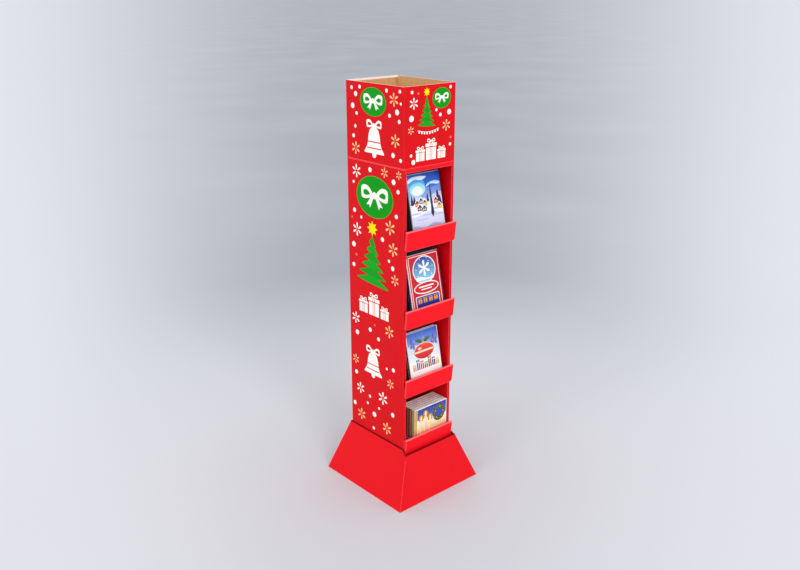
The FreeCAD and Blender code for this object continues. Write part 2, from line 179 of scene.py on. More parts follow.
def lithoBoard(name, red, deepRed, kraftWithin=None, cutFrom=None, crestAt=None, rim=None):
    # corrugated board with a printed, varnished paper face: even colour, faint flute lines, pale folds that are
    # worn ink and painted highlight
    look = boardLook
    material, add, coords = newMaterial(name)
    position = coords.outputs["Object"]
    flutes, grain, bump, place, facing, clouds = boardSurface(add, coords, look)
    patch = add("Math", [clouds, 0.7, -0.1], operation="MULTIPLY_ADD")
    tint = add("Math", [grain, 0.35, patch], operation="MULTIPLY_ADD")
    ink = add("Mix", {0: tint, 6: linearColour(red), 7: linearColour(deepRed)}, data_type="RGBA")
    wearAndHighlight = foldWearAndHighlight(add, position, look)
    if rim:
        # the upper edge turns in against the tower: no rubbing there, and a painted shadow line darkens the joint
        sideRim, frontRim = rim
        level = add("MapRange", {"Value": place.outputs["Y"], "From Min": towerFront - look["rimStep"],
            "From Max": towerFront, "To Min": frontRim - look["jointShadowBand"], "To Max": sideRim - look["jointShadowBand"]})
        above = add("Math", [place.outputs["Z"], level], operation="SUBTRACT")
        inJointShadow = add("Math", [above, 0.0], operation="GREATER_THAN")
        under = add("Math", [above, -look["unrubbed"]], operation="LESS_THAN")
        wearAndHighlight = add("Math", [wearAndHighlight, under], operation="MULTIPLY")
    if crestAt:
        # the long fold along a lip's top edge, stretched until the paper shows, with a painted highlight along it
        over = add("MapRange", {"Value": place.outputs["Z"], "From Min": crestAt - look["crestFoot"],
            "From Max": crestAt - look["crestFull"], "To Max": 0.9})
        outer = add("Math", [place.outputs["Y"], towerFront], operation="LESS_THAN")
        crestWearAndHighlight = add("Math", [over, outer], operation="MULTIPLY")
        wearAndHighlight = add("Math", [wearAndHighlight, crestWearAndHighlight], operation="MAXIMUM")
    colour = add("Mix", {0: wearAndHighlight, 6: ink.outputs[2], 7: linearColour(look["wornAndHighlight"])},
        data_type="RGBA").outputs[2]
    if rim:
        # painted shadow: a dark band along the joint between the skirt and the tower
        colour = add("Mix", {0: inJointShadow, 6: colour, 7: linearColour(look["jointShadowInk"])},
            data_type="RGBA").outputs[2]
    if kraftWithin:
        # the unprinted side of the sheet, inside the folded tube
        halfAcross, middle, halfDeep = kraftWithin
        fromSide = add("Math", [place.outputs["X"]], operation="ABSOLUTE")
        overSide = add("Math", [fromSide, halfAcross], operation="LESS_THAN")
        fromMiddle = add("Math", [place.outputs["Y"], middle], operation="SUBTRACT")
        depth = add("Math", [fromMiddle], operation="ABSOLUTE")
        overDepth = add("Math", [depth, halfDeep], operation="LESS_THAN")
        inside = add("Math", [overSide, overDepth], operation="MULTIPLY")
        kraft = kraftPaper(add, position, flutes, look)
        # the litho paper's white margin, turned in over the back panel's top edge
        rear = add("Math", [place.outputs["Y"], middle + halfDeep - look["marginReach"]],
            operation="GREATER_THAN")
        upper = add("Math", [place.outputs["Z"], cutFrom - look["turnIn"]], operation="GREATER_THAN")
        margin = add("Math", [rear, upper], operation="MULTIPLY")
        lining = add("Mix", {0: margin, 6: kraft.outputs[2], 7: linearColour(look["cutPaper"])},
            data_type="RGBA")
        colour = add("Mix", {0: inside, 6: colour, 7: lining.outputs[2]}, data_type="RGBA").outputs[2]
    if cutFrom:
        # the sheet's cut edge: white and brown papers with the wave between them
        upward = add("Math", [facing.outputs["Z"], 0.9], operation="GREATER_THAN")
        high = add("Math", [place.outputs["Z"], cutFrom], operation="GREATER_THAN")
        cut = add("Math", [upward, high], operation="MULTIPLY")
        hollow = add("MapRange", {"Value": flutes, "From Min": -0.2, "From Max": 1.0, "To Min": 0.0,
            "To Max": 0.5})
        edge = add("Mix", {0: hollow, 6: linearColour(look["cutPaper"]), 7: linearColour(look["cutFlute"])},
            data_type="RGBA")
        colour = add("Mix", {0: cut, 6: colour, 7: edge.outputs[2]}, data_type="RGBA").outputs[2]
    return finishMaterial(material, add, coatedShader(add, colour, grain, bump))


def kraftBoard(name):
    # uncoated corrugated board: brown long-fibred paper, dull, with the flutes showing as soft stripes
    look = boardLook
    material, add, coords = newMaterial(name)
    position = coords.outputs["Object"]
    flutes, _, bump = boardSurface(add, coords, look)[:3]
    colour = kraftPaper(add, position, flutes, look)
    shader = add("BsdfPrincipled", {"Base Color": colour.outputs[2], "Roughness": 0.86,
        "Specular IOR Level": 0.25, "Normal": bump})
    return finishMaterial(material, add, shader)


def inkOnBoard(name):
    # the spot colours printed on the same board: same flutes and varnish, colour from the shape's ink
    material, add, coords = newMaterial(name)
    _, grain, bump = boardSurface(add, coords, boardLook)[:3]
    ink = add("Attribute", attribute_name="ink")
    shade = add("MapRange", {"Value": grain, **noiseSpan, "To Min": 0.93, "To Max": 1.03})
    colour = add("VectorMath", {0: ink.outputs["Color"], "Scale": shade}, operation="SCALE")
    return finishMaterial(material, add, coatedShader(add, colour, grain, bump))


paperLook = dict(screen=0.9 * mm, waves=35 * mm, depth=0.4 * mm)


def coatedPaper(name):
    # offset print on art paper behind a clear sleeve: glossy, with a faint screen in the colour
    material, add, coords = newMaterial(name)
    position = coords.outputs["Object"]
    ink = add("Attribute", attribute_name="ink")
    screen = add("TexNoise", {"Vector": position, "Scale": 1 / paperLook["screen"], "Detail": 2.0})
    waves = add("TexNoise", {"Vector": position, "Scale": 1 / paperLook["waves"], "Detail": 2.0})
    shade = add("MapRange", {"Value": screen, **noiseSpan, "To Min": 0.9, "To Max": 1.05})
    colour = add("VectorMath", {0: ink.outputs["Color"], "Scale": shade}, operation="SCALE")
    bump = add("Bump", {"Strength": 0.25, "Distance": paperLook["depth"], "Height": waves})
    shader = add("BsdfPrincipled", {"Base Color": colour, "Roughness": 0.32, "Coat Weight": 0.25,
        "Coat Roughness": 0.1, "Specular IOR Level": 0.25, "Normal": bump})
    return finishMaterial(material, add, shader)


plasticLook = dict(skin=0.8 * mm, flow=25 * mm, depth=0.05 * mm)


def mouldedPlastic(name, colour, roughness, coat=0.0):
    # moulded case: finely spark-eroded skin with a soft sheen and slight flow clouds
    material, add, coords = newMaterial(name)
    position = coords.outputs["Object"]
    skin = add("TexNoise", {"Vector": position, "Scale": 1 / plasticLook["skin"], "Detail": 3.0})
    flow = add("TexNoise", {"Vector": position, "Scale": 1 / plasticLook["flow"], "Detail": 2.0})
    shade = add("MapRange", {"Value": flow, **noiseSpan, "To Min": 0.85, "To Max": 1.1})
    tint = add("VectorMath", {0: linearColour(colour)[:3], "Scale": shade}, operation="SCALE")
    rough = add("MapRange", {"Value": skin, **noiseSpan, "To Min": roughness - 0.05,
        "To Max": roughness + 0.08})
    bump = add("Bump", {"Strength": 0.2, "Distance": plasticLook["depth"], "Height": skin})
    shader = add("BsdfPrincipled", {"Base Color": tint, "Roughness": rough, "Coat Weight": coat,
        "Coat Roughness": 0.05, "Normal": bump})
    return finishMaterial(material, add, shader)


towerLow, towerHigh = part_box("tower_sleeve")
towerFront = towerLow.y
headerLow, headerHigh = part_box("header_sleeve")
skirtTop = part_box("base_skirt")[1].z
frontDrop = 12 * mm     # the skirt's front edge below its other edges
kraftWithin = (headerHigh.x - boardLook["liner"], (headerLow.y + headerHigh.y) / 2,
               (headerHigh.y - headerLow.y) / 2 - boardLook["liner"])
reds = (boardLook["red"], boardLook["deepRed"])
brightReds = (boardLook["brightRed"], boardLook["deepBright"])
redBoard = lithoBoard("red litho-laminated board", *reds)
brightBoard = lithoBoard("bright red litho-laminated board", *brightReds)
skirtBoard = lithoBoard("plain red litho-laminated board", boardLook["skirtRed"], boardLook["deepSkirt"],
                        rim=(skirtTop, skirtTop - frontDrop))
lipBoards = [lithoBoard(f"bright red litho-laminated board {number}", *brightReds,
                        crestAt=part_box(f"tray_{number}")[1].z) for number in (1, 2, 3, 4)]
headerBoard = lithoBoard("red board with kraft back", *reds, kraftWithin, headerHigh.z - boardLook["cutReach"])
brownBoard = kraftBoard("brown kraft board")
boardInk = inkOnBoard("spot ink on varnished board")
sleevePaper = coatedPaper("offset print under clear sleeve")
blackCase = mouldedPlastic("black moulded polypropylene", "#15161A", 0.4)
navyCase = mouldedPlastic("navy moulded polypropylene", "#14205A", 0.34)
whiteCase = mouldedPlastic("white moulded polypropylene", "#E9E4F0", 0.36)
sleeveHem = mouldedPlastic("clear polypropylene sleeve hem", "#A9ADB6", 0.2, coat=0.5)
darkHem = mouldedPlastic("clear sleeve hem over dark case", "#34373E", 0.2, coat=0.4)
clearCase = mouldedPlastic("clear polystyrene lid", "#FBFCFC", 0.2, coat=0.3)
greyTray = mouldedPlastic("grey-green polystyrene disc tray", "#66706C", 0.3)
print("materials made")

boardFinish = {"tower_sleeve": redBoard, "header_sleeve": headerBoard, "base_skirt": skirtBoard,
               "header_tray": brightBoard}
boardFinish.update({f"tray_{number}": board for number, board in enumerate(lipBoards, 1)})
for nodeName in ("base_box", "case_stop_1", "case_stop_2", "case_stop_3",
                 "case_pad_1", "case_pad_2", "case_pad_4"):
    boardFinish[nodeName] = brownBoard
for nodeName, finish in boardFinish.items():
    mesh = nodes[nodeName].data
    mesh.materials.clear()
    mesh.materials.append(finish)


# Flat printed shapes

def addShape(sheet, layer, outline, ink, place, lift, material=0):
    # one filled outline in millimetres; ink is a hex colour, or two for a fade from the bottom to the top
    low = min(v for u, v in outline)
    high = max(v for u, v in outline)
    corners = []
    for u, v in outline:
        corner = sheet.verts.new(place @ Vector((u * mm, v * mm, lift * mm)))
        share = (v - low) / (high - low) if high > low else 0
        corner[layer] = mixed(ink[0], ink[1], share) if isinstance(ink, tuple) else linearColour(ink)
        corners.append(corner)
    face = sheet.faces.new(corners)
    face.normal_update()
    if face.normal.dot(place.to_3x3() @ Vector((0, 0, 1))) < 0:
        face.normal_flip()
    face.material_index = material


def oval(u, v, halfWidth, halfTall, steps=48):
    turn = 2 * math.pi / steps
    return [(u + halfWidth * math.cos(turn * i), v + halfTall * math.sin(turn * i)) for i in range(steps)]


def block(u, v, width, tall, radius=0.0):
    # rectangle about its middle, with rounded corners if a radius is given
    if radius <= 0:
        return [(u - width / 2, v - tall / 2), (u + width / 2, v - tall / 2),
                (u + width / 2, v + tall / 2), (u - width / 2, v + tall / 2)]
    outline, steps = [], 4
    for quarter, (signU, signV) in enumerate(((1, 1), (-1, 1), (-1, -1), (1, -1))):
        for i in range(steps + 1):
            angle = math.pi / 2 * (quarter + i / steps)
            outline.append((u + signU * (width / 2 - radius) + radius * math.cos(angle),
                v + signV * (tall / 2 - radius) + radius * math.sin(angle)))
    return outline


def starOutline(u, v, outer, inner, points):
    turn = math.pi / 2
    corners = [((outer, inner)[i % 2], turn + math.pi * i / points) for i in range(2 * points)]
    return [(u + reach * math.cos(angle), v + reach * math.sin(angle)) for reach, angle in corners]


def smoothLoop(points, steps=5):
    # a closed soft outline through a few points
    outline = []
    count = len(points)
    for i in range(count):
        a, b, c, d = (Vector(points[(i + k) % count]) for k in (-1, 0, 1, 2))
        for j in range(steps):
            t = j / steps
            bend = (2 * a - 5 * b + 4 * c - d) * t ** 2 + (3 * b - a - 3 * c + d) * t ** 3
            p = 0.5 * (2 * b + (c - a) * t + bend)
            outline.append((p.x, p.y))
    return outline


# Panels of the stand, each with its lower left corner as seen from outside

def panelPlace(corner, right, out):
    right, out = Vector(right), Vector(out)
    up = out.cross(right)
    return Matrix.Translation(corner) @ Matrix((right, up, out)).transposed().to_4x4()


leftPanel = panelPlace((towerLow.x, towerHigh.y, 0), (0, -1, 0), (-1, 0, 0))
frontPanel = panelPlace((towerLow.x, towerLow.y, 0), (1, 0, 0), (0, -1, 0))
rightPanel = panelPlace((towerHigh.x, towerLow.y, 0), (0, 1, 0), (1, 0, 0))
backPanel = panelPlace((towerHigh.x, towerHigh.y, 0), (-1, 0, 0), (0, 1, 0))

# Snow print: round dots and six-petalled flakes, laid out one by one, in millimetres on the panel
snow = dict(
    white="#FFFAF0", cream="#FFC58A", faint="#F8776C", lift=0.12,
    petals=6, petalWidth=0.22, dotShare=0.88, sway=3,     # degrees
    leftTower=[
        ("dot", (110, 1063, 8.5), (30, 1014, 5.5), (218, 1042, 9.5), (238, 1016, 7.5), (32, 924, 8),
         (65, 907, 5.5), (230, 940, 7.5), (26, 812, 10), (166, 856, 8.5)), ("faint", (38, 780, 5)),
        ("dot", (24, 744, 8), (196, 794, 6), (213, 774, 8.5), (102, 541, 8.5), (36, 513, 9.5), (143, 520, 7.5),
         (28, 368, 8.5), (183, 430, 5), (215, 436, 8), (97, 302, 6), (17, 250, 8.5), (85, 273, 5.5),
         (143, 274, 5.5), (119, 243, 10.5), (211, 276, 9), (115, 191, 6.5)),
        ("faint", (125, 563, 4), (20, 900, 4)),
        ("white", (45, 1050, 21), (44, 864, 22), (30, 563, 20), (48, 316, 20), (163, 318, 23)),
        ("cream", (177, 1064, 16), (241, 1066, 13), (201, 900, 23), (215, 834, 22), (223, 738, 18),
         (196, 561, 21), (26, 415, 17), (200, 382, 17), (52, 220, 21), (182, 216, 22)),
    ],
    leftHeader=[
        ("dot", (66, 1305, 6.5), (28, 1300, 6.5), (47, 1283, 8.5), (32, 1247, 9.5), (50, 1226, 6), (43, 1187, 6),
         (34, 1157, 7), (188, 1304, 6.5), (246, 1306, 6), (234, 1247, 9.5), (201, 1234, 6.5), (243, 1221, 6.5),
         (250, 1272, 4.5), (216, 1121, 8.5), (249, 1110, 6.5)),
        ("cream", (220, 1281, 20), (226, 1164, 20), (44, 1121, 20)),
    ],
    plainFill=[
        ("white", (130, 985, 24)), ("dot", (96, 1004, 9), (164, 960, 8)), ("cream", (84, 956, 18)),
        ("dot", (178, 1008, 7)), ("cream", (92, 800, 20)), ("white", (140, 770, 24)),
        ("dot", (110, 740, 9), (160, 716, 8)), ("cream", (70, 706, 18)), ("dot", (90, 850, 7)),
        ("white", (120, 650, 22)), ("dot", (70, 640, 9), (170, 664, 8)), ("cream", (190, 634, 16)),
        ("dot", (92, 600, 7), (150, 596, 8)), ("cream", (120, 470, 22)), ("white", (84, 430, 20)),
        ("dot", (160, 446, 9), (100, 500, 6), (140, 400, 8)), ("cream", (110, 372, 18)), ("dot", (66, 470, 7)),
        ("white", (128, 1276, 22)), ("dot", (92, 1256, 8), (164, 1268, 8)), ("cream", (120, 1216, 18)),
        ("dot", (160, 1206, 8)), ("white", (96, 1160, 20)), ("dot", (150, 1150, 9), (128, 1122, 7)),
        ("cream", (170, 1118, 14)),
    ],
    frontHeader=[
        ("dot", (30, 1303, 5.5)), ("faint", (54, 1298, 4)),
        ("dot", (182, 1308, 5.5), (28, 1229, 10), (126, 1246, 5), (142, 1231, 6), (178, 1236, 9)),
        ("faint", (186, 1160, 4.5)), ("dot", (184, 1140, 5.5), (27, 1123, 5.5), (36, 1103, 8.5)),
        ("white", (37, 1271, 17)), ("cream", (167, 1198, 17), (26, 1196, 12)),
    ],
)


def snowTree():
    # points with a radius, a turn and an ink become dots, or flakes where kind is 1
    tree = bpy.data.node_groups.new("snow print", "GeometryNodeTree")
    add = partial(addNode, tree)
    sockets = {}
    for label, kind in (("Geometry", "Geometry"), ("Petals", "Int"), ("Petal width", "Float"),
            ("Material", "Material")):
        sockets[label] = tree.interface.new_socket(label, in_out="INPUT", socket_type="NodeSocket" + kind)
    tree.interface.new_socket("Geometry", in_out="OUTPUT", socket_type="NodeSocketGeometry")
    given = add("NodeGroupInput")
    kind, radius, turn = (add("GeometryNodeInputNamedAttribute", {"Name": label},
        data_type="FLOAT") for label in ("kind", "radius", "turn"))
    isFlake = add("Math", [kind, 0.5], operation="GREATER_THAN")
    isDot = add("Math", [kind, 0.5], operation="LESS_THAN")
    dot = add("GeometryNodeMeshCircle", {"Vertices": 22, "Radius": 1.0}, fill_type="NGON")
    # a petal: a circle drawn out to a drop that is narrow at the flake's middle
    disc = add("GeometryNodeMeshCircle", {"Vertices": 14, "Radius": 1.0}, fill_type="NGON")
    spot = add("GeometryNodeInputPosition")
    split = add("SeparateXYZ", [spot])
    taper = add("Math", [split.outputs[1], 0.42, 0.62], operation="MULTIPLY_ADD")
    slim = add("Math", [taper, given.outputs["Petal width"]], operation="MULTIPLY")
    drawnU = add("Math", [split, slim], operation="MULTIPLY")
    drawnV = add("Math", [split.outputs[1], 0.43, 0.57], operation="MULTIPLY_ADD")
    drawn = add("CombineXYZ", [drawnU, drawnV])
    petal = add("GeometryNodeSetPosition", {"Geometry": disc, "Position": drawn})
    arms = add("GeometryNodePoints", {"Count": given.outputs["Petals"]})
    number = add("GeometryNodeInputIndex")
    step = add("Math", [2 * math.pi, given.outputs["Petals"]], operation="DIVIDE")
    angle = add("Math", [number, step], operation="MULTIPLY")
    armTurn = add("CombineXYZ", {2: angle})
    petals = add("GeometryNodeInstanceOnPoints", {"Points": arms, "Instance": petal, "Rotation": armTurn})
    flakeTurn = add("CombineXYZ", {2: turn})
    joined = add("GeometryNodeRealizeInstances", [petals])
    dots = add("GeometryNodeInstanceOnPoints", {"Points": given, "Selection": isDot, "Instance": dot,
        "Scale": radius})
    flakes = add("GeometryNodeInstanceOnPoints", {"Points": given, "Selection": isFlake, "Instance": joined,
        "Rotation": flakeTurn, "Scale": radius})
    both = add("GeometryNodeJoinGeometry", [dots])
    tree.links.new(flakes.outputs[0], both.inputs[0])
    real = add("GeometryNodeRealizeInstances", [both])
    inked = add("GeometryNodeSetMaterial", {"Geometry": real, "Material": given.outputs["Material"]})
    add("NodeGroupOutput", [inked])
    return tree, sockets


snowNodes, snowSockets = snowTree()


def snowPrint(name, layout, place, mirrorWidth=None):
    points = bpy.data.meshes.new(name)
    points.from_pydata([(mirrorWidth - u if mirrorWidth else u, v, 0) for kind, u, v, size in layout], [], [])
    for label in ("kind", "radius", "turn"):
        points.attributes.new(label, "FLOAT", "POINT")
    points.attributes.new("ink", "FLOAT_COLOR", "POINT")
    of = points.attributes
    for i, (kind, u, v, size) in enumerate(layout):
        isFlake = kind in ("white", "cream")
        of["kind"].data[i].value = isFlake
        of["radius"].data[i].value = size * (1 if isFlake else snow["dotShare"])
        of["turn"].data[i].value = math.radians(snow["sway"] * ((i * 5) % 3 - 1))
        of["ink"].data[i].color = linearColour(snow.get(kind, snow["white"]))
    carrier = bpy.data.objects.new(name + "_points", points)
    bpy.context.scene.collection.objects.link(carrier)
    modifier = carrier.modifiers.new("snow", "NODES")
    modifier.node_group = snowNodes
    modifier[snowSockets["Petals"].identifier] = snow["petals"]
    modifier[snowSockets["Petal width"].identifier] = snow["petalWidth"]
    modifier[snowSockets["Material"].identifier] = boardInk
    graph = bpy.context.evaluated_depsgraph_get()
    mesh = bpy.data.meshes.new_from_object(carrier.evaluated_get(graph))
    carrier.modifiers.remove(modifier)
    bpy.data.objects.remove(carrier)
    mesh.transform(place @ Matrix.Translation((0, 0, snow["lift"] * mm)) @ Matrix.Scale(mm, 4))
    newPiece(name, mesh, "printed_board")


sideWidth = (towerHigh.y - towerLow.y) / mm
narrow = (towerHigh.x - towerLow.x) / mm / sideWidth
backEdge = 12
spots = {panel: [(kind, *spot) for kind, *group in snow[panel] for spot in group]
         for panel in ("leftTower", "leftHeader", "plainFill", "frontHeader")}
sideSnow = spots["leftTower"] + spots["leftHeader"]
plainSnow = sideSnow + spots["plainFill"]     # the panels without badges have snow all over
backSnow = [(kind, backEdge + (u - backEdge) * narrow, v, size) for kind, u, v, size in plainSnow]
snowPrint("snow_print_left", sideSnow, leftPanel)
snowPrint("snow_print_header_front", spots["frontHeader"], frontPanel)
snowPrint("snow_print_right", plainSnow, rightPanel, sideWidth)
snowPrint("snow_print_back", backSnow, backPanel)
print("snow printed")

# Badges, trees and ornaments
badge = dict(green="#04960F", rim="#3DAE2A", white="#FFFAF0", yellow="#FFE400", leaf="#0AA51C",
    deepLeaf="#089A18", lift=0.18, step=0.05, starLevel=4.4)


def treeArt(u, tip, foot, halfWidth):
    # a zigzag fir: each tier is one leaning brush stroke, thick in the middle and pointed at its ends
    tiers = 6
    pitch = (tip - foot) / (tiers + 0.5)
    body = [(u, tip), (u + halfWidth * 0.3, foot + pitch * 1.2), (u + halfWidth * 0.2, foot + pitch * 0.2),
            (u - halfWidth * 0.3, foot + pitch * 0.9)]
    art = [(body, badge["leaf"], 0)]
    # a stroke's corners: share of its reach from the trunk, share of the tiers' pitch up or down
    corners = ((-0.78, 0.26), (-0.3, 0.62), (0.1, 0.7), (0.55, 0.16), (0.97, -0.45), (0.6, -0.51), (0.1, -0.42),
        (-0.45, -0.3), (-0.98, 0))
    for i in range(tiers):
        reach = halfWidth * (0.2 + 0.8 * i / (tiers - 1))
        level = tip - pitch * (1.15 + i)
        stroke = smoothLoop([(u + reach * x, level + pitch * y) for x, y in corners], 4)
        art.append((stroke, badge["leaf"] if i % 2 else badge["deepLeaf"], 1 + i % 2))
    return art


def bowArt(u, v, width, ink, level):
    # a ribbon bow: two loops, a knot and two tails
    half = width / 2
    loop = ((0.1, 0), (0.5, 0.42), (0.95, 0.38), (1, 0.02), (0.92, -0.22), (0.5, -0.2))
    hole = ((0.34, 0.04), (0.58, 0.22), (0.82, 0.16), (0.8, -0.04), (0.55, -0.05))
    tail = ((0.04, -0.05), (0.26, -0.1), (0.62, -0.52), (0.4, -0.5), (0.34, -0.66))
    art = []
    for side in (-1, 1):
        placed = [[(u + side * half * x, v + half * y) for x, y in corners] for corners in (tail, loop, hole)]
        art += [(placed[0], ink[0], level), (smoothLoop(placed[1]), ink[0], level + 1),
                (smoothLoop(placed[2]), ink[1], level + 2)]
    return art + [(block(u, v, half * 0.26, half * 0.34, half * 0.09), ink[0], level + 3)]


def bellArt(u, v, width, ink):
    # a hand bell with a bow: dome, flared rim, two bands and the clapper
    half = width / 2
    side = [(0.16, 1.05), (0.46, 0.86), (0.6, 0.45), (0.66, 0.0), (0.78, -0.34), (1.0, -0.62)]
    dome = [(u + x * half, v + y * half) for x, y in side + [(-x, y) for x, y in reversed(side)]]
    art = [(oval(u, v - half * 0.86, half * 0.22, half * 0.22, 24), ink[0], 0), (dome, ink[0], 1),
           (block(u, v - half * 0.7, half * 2.1, half * 0.16, half * 0.07), ink[0], 1)]
    for height, reach in ((-0.42, 1.52), (0.02, 1.28)):
        art.append((block(u, v + half * height, half * reach, half * 0.08), ink[1], 2))
    return art + bowArt(u, v + half * 1.18, width * 0.8, ink, 3)


def giftArt(u, foot, width, ink):
    # three parcels side by side, tied with ribbon
    art = []
    for shift, share, tall in ((-0.345, 0.3, 0.27), (0.0, 0.36, 0.4), (0.345, 0.28, 0.22)):
        middle, across, high = u + shift * width, share * width, tall * width
        art += [(block(middle, foot + high * 0.4, across * 0.9, high * 0.8), ink[0], 0),
                (block(middle, foot + high * 0.88, across, high * 0.2), ink[0], 1),
                (block(middle, foot + high * 0.76, across * 0.96, high * 0.05), ink[1], 2)]
        for x in (-0.08, 0.08):
            art.append((block(middle + across * x, foot + high * 0.49, across * 0.045, high * 0.98), ink[1], 2))
        art += bowArt(middle, foot + high * 1.12, across * 0.7, ink, 3)
    return art


def garlandArt(u, v, width, sag, ink):
    # a thin swag with small round lights
    steps = 16
    line = [(u + width * (i / steps - 0.5), v - sag * math.sin(math.pi * i / steps)) for i in range(steps + 1)]
    lights = [(oval(x, y - width * 0.04, width * 0.036, width * 0.042, 14), ink, 1) for x, y in line[1::2]]
    return [(line + [(x, y + width * 0.018) for x, y in reversed(line)], ink, 0)] + lights


def badgeArt(u, v, halfWidth, halfTall):
    # the round label: green in a paler rim, with a white bow
    art = [(oval(u, v, halfWidth, halfTall, 72), badge["rim"], 0),
           (oval(u, v, halfWidth * 0.975, halfTall * 0.965, 72), badge["green"], 1)]
    return art + bowArt(u, v + halfTall * 0.08, halfWidth * 1.45, (badge["white"], badge["green"]), 2)


def printPanel(name, place, *arts):
    # one mesh of flat shapes, each with its own ink
    sheet = bmesh.new()
    layer = sheet.verts.layers.float_color.new("ink")
    for outline, ink, level in sum(arts, []):
        addShape(sheet, layer, outline, ink, place, badge["lift"] + badge["step"] * level)
    bmesh.ops.triangulate(sheet, faces=sheet.faces[:], ngon_method="EAR_CLIP")
    mesh = bpy.data.meshes.new(name)
    sheet.to_mesh(mesh)
    sheet.free()
    mesh.materials.append(boardInk)
    newPiece(name, mesh, "printed_board")


whiteOnRed = (badge["white"], boardLook["red"])
printPanel("main_print_left", leftPanel, badgeArt(130, 981, 86, 65), treeArt(118, 864, 700, 78),
    [(starOutline(118, 881, 25, 14, 8), badge["yellow"], badge["starLevel"])],
    giftArt(122, 594, 150, whiteOnRed), bellArt(115, 420, 84, whiteOnRed), badgeArt(127, 1266, 59, 42),
    bellArt(131, 1148, 86, whiteOnRed))
printPanel("main_print_header_front", frontPanel, badgeArt(147, 1279, 37, 30), treeArt(88, 1290, 1203, 35),
    [(starOutline(87, 1300, 13, 7, 8), badge["yellow"], badge["starLevel"])],
    garlandArt(95, 1192, 84, 7, badge["white"]), giftArt(106, 1103, 124, whiteOnRed))
print("badges and ornaments printed")


# Disc cases

towardLeft = Matrix(((0, 0, -1), (-1, 0, 0), (0, 1, 0))).to_4x4()
towardFront = Matrix.Rotation(math.pi / 2, 4, "X")


def finishCase(nodeName, solid, closed, place, slot, materials):
    bmesh.ops.triangulate(solid, faces=[f for f in solid.faces if len(f.verts) > 4], ngon_method="EAR_CLIP")
    bmesh.ops.recalc_face_normals(solid, faces=[f for f in solid.faces if f.material_index in closed])
    mesh = bpy.data.meshes.new(nodeName + "_case")
    solid.to_mesh(mesh)
    solid.free()
    mesh.transform(place)
    for material in materials:
        mesh.materials.append(material)
    newPiece(nodeName + "_case", mesh, slot, nodeName)


def addBlock(solid, low, high, material=0):
    # closed block between two corners, in millimetres
    made = [solid.verts.new(Vector((x, y, z)) * mm) for x in (low[0], high[0]) for y in (low[1], high[1])
            for z in (low[2], high[2])]
    for ring in ((0, 1, 3, 2), (4, 6, 7, 5), (0, 4, 5, 1), (2, 3, 7, 6), (0, 2, 6, 4), (1, 5, 7, 3)):
        solid.faces.new([made[i] for i in ring]).material_index = material


def addPrism(solid, outline, low, high):
    # outline in the ground plane, drawn up from low to high, in millimetres
    lower = [solid.verts.new(Vector((x, y, low)) * mm) for x, y in outline]
    upper = [solid.verts.new(Vector((x, y, high)) * mm) for x, y in outline]
    count = len(outline)
    solid.faces.new(list(reversed(lower)))
    solid.faces.new(upper)
    for i in range(count):
        j = (i + 1) % count
        solid.faces.new((lower[i], lower[j], upper[j], upper[i]))


coverLeft, coverRight, coverFoot, coverTop = 2.2, 132.4, 2.6, 187.4
coverField = [(coverLeft, coverFoot), (coverRight, coverFoot), (coverRight, coverTop), (coverLeft, coverTop)]
filmCase = dict(width=135, tall=190, thick=14, lean=12, plate=1.2, spineRadius=2.4, corner=3, recess=1.8,
    seam=0.4, paperEdge=2.6, paperLift=0.1, hem=2.2, hemEnd=3.2, sink=0.05, clips=(0.3, 0.7))


def cornerArc(x, y, radius, start, end, steps=5):
    turns = [math.radians(start + (end - start) * i / steps) for i in range(steps + 1)]
    return [(x + radius * math.cos(turn), y + radius * math.sin(turn)) for turn in turns]


def wrapOutline(grow, fromRight):
    # the case's outer skin seen from above, from the front's free edge round the spine to the back's
    size = filmCase
    half, thick, radius = size["width"] / 2, size["thick"], size["spineRadius"]
    line = [(half - fromRight, -thick - grow)]
    line += cornerArc(-half + radius, -thick + radius, radius + grow, 270, 180)
    line += cornerArc(-half + radius, -radius, radius + grow, 180, 90)
    line += [(half - fromRight, grow)]
    return line


